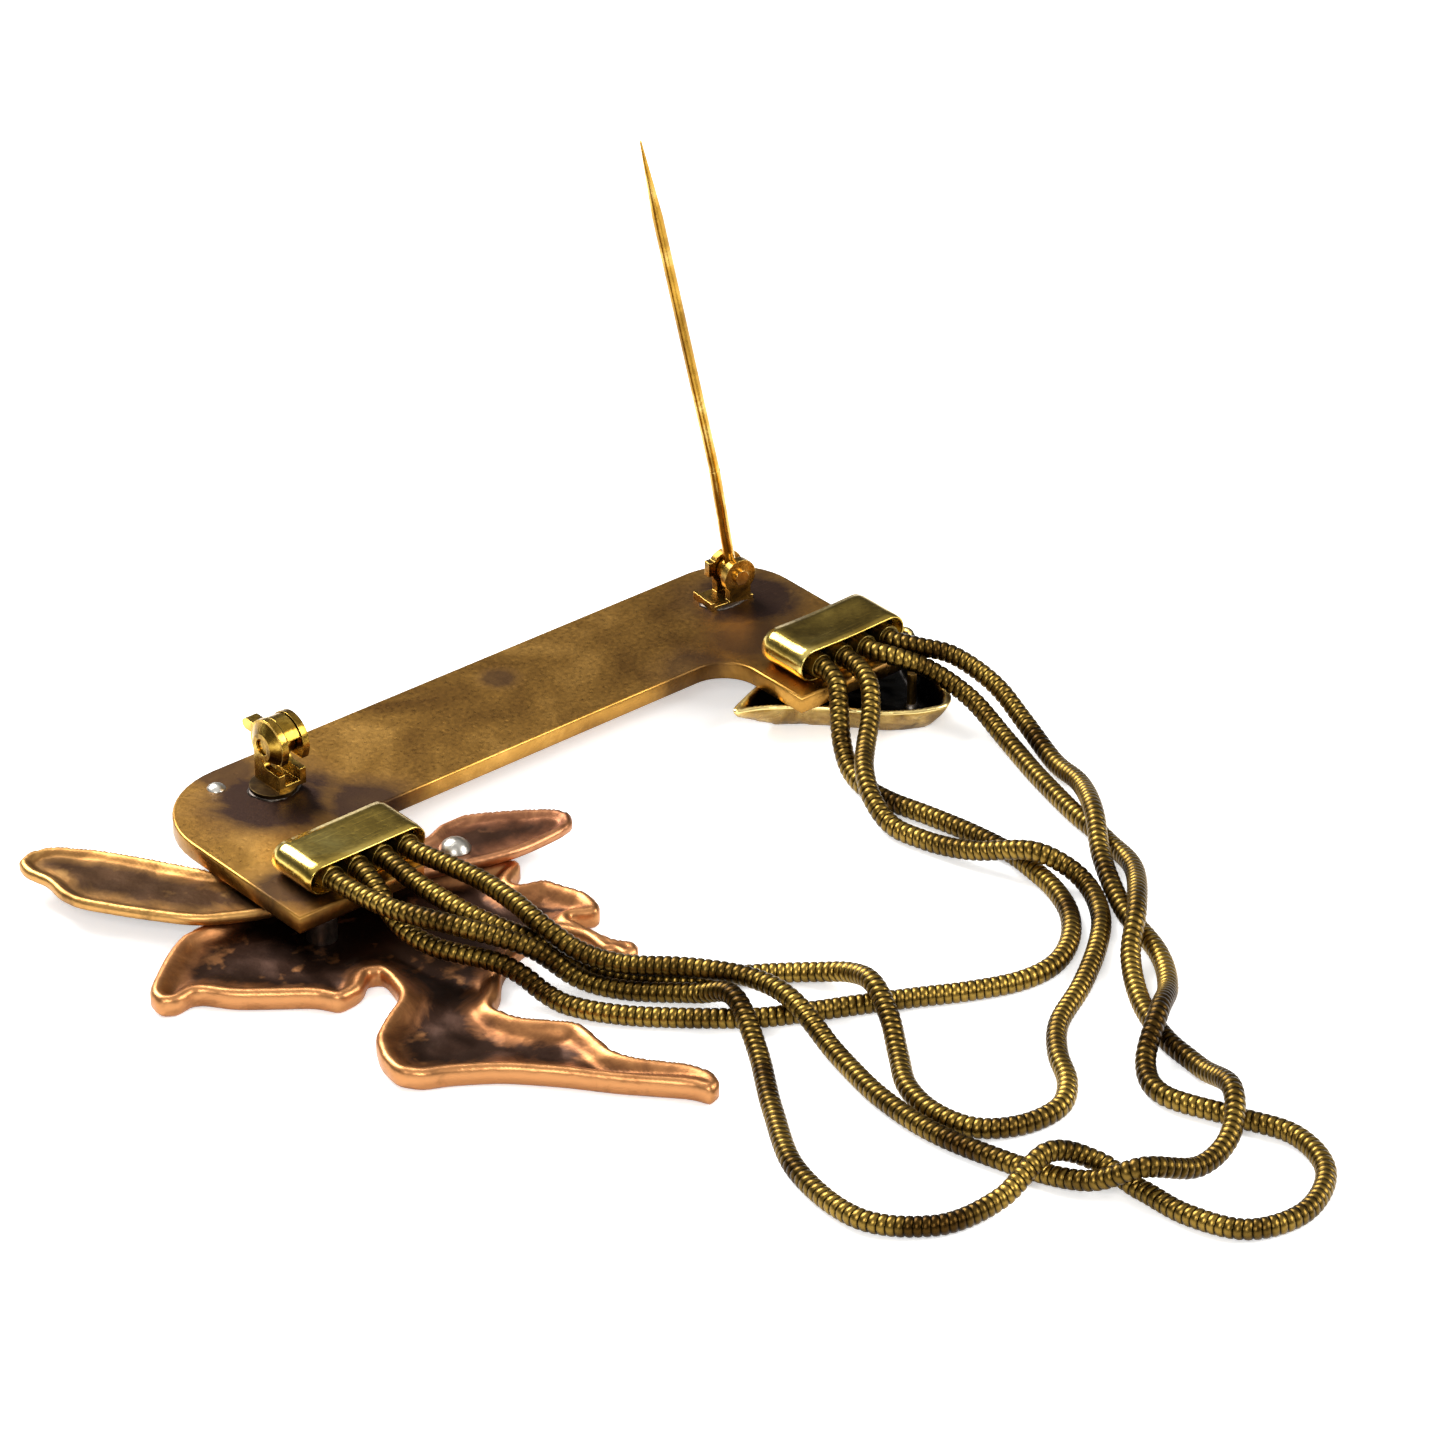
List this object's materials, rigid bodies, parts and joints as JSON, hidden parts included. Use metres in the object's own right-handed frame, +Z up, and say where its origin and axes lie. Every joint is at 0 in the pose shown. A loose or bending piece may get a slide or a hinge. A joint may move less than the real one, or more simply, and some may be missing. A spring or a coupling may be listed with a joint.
{
  "type": "figural brooch with snake chains",
  "caption": "Costume brooch lying face down: C-shaped back plate, hinged pin and rollover catch, winged figure and leaf, and looped snake chains in tube clamps.",
  "frame": {"origin": "on the surface the brooch lies on, under the middle of the brooch without its chains", "axes": "+X along the plate's bar from the catch to the hinge, +Y away from the chains, +Z up out of the plate's back"},
  "size_m": [0.0926, 0.1134, 0.0597],
  "materials": {
    "plate_brass": "antiqued, semi-gloss",
    "hinge_brass": "antiqued, semi-gloss",
    "pin_wire": "drawn and polished",
    "catch_brass": "stamped and polished",
    "clamp_brass": "polished",
    "ring_brass": "dull",
    "chain_brass": "fine ribs, semi-gloss",
    "figure_copper": "cast, antiqued copper colour",
    "wing_brass": "cast, antiqued",
    "wing_copper": "cast, antiqued copper colour",
    "leaf_brass": "hammered outside, dark inside",
    "solder": "dull grey solder",
    "solder_bright": "bright solder"
  },
  "bodies": {
    "root": {"back_plate": "plate_brass", "hinge_joint": "hinge_brass", "hinge_rivet": "hinge_brass", "solder_hinge": "solder", "catch_foot": "catch_brass", "catch_frame": "catch_brass", "catch_axle": "catch_brass", "solder_catch": "solder", "clamp_left": "clamp_brass", "clamp_right": "clamp_brass", "chain_rings_left": "ring_brass", "chain_rings_right": "ring_brass", "solder_fill_left": "solder", "solder_fill_right": "solder", "chain_a": "chain_brass", "chain_b": "chain_brass", "chain_c": "chain_brass", "chain_d": "chain_brass", "figure_body": "figure_copper", "wing_left": "wing_brass", "wing_right": "wing_copper", "solder_wing": "solder_bright", "solder_body": "solder", "leaf_shell": "leaf_brass", "leaf_peg": "leaf_brass", "solder_peg": "solder", "solder_spot": "solder_bright"},
    "pin": {"pin_stem": "pin_wire"},
    "barrel": {"catch_barrel": "catch_brass"}
  },
  "joints": [
    {"name": "pin_swing", "type": "hinge", "parent": "root", "child": "pin", "pos_m": [0.03495, 0.02585, 0.008], "axis": [0.1045, 0.9945, 0], "range_deg": [-75, 30]},
    {"name": "catch_turn", "type": "hinge", "parent": "root", "child": "barrel", "pos_m": [-0.01925, 0.02585, 0.01], "axis": [1, 0, 0], "range_deg": [0, 95]}
  ]
}
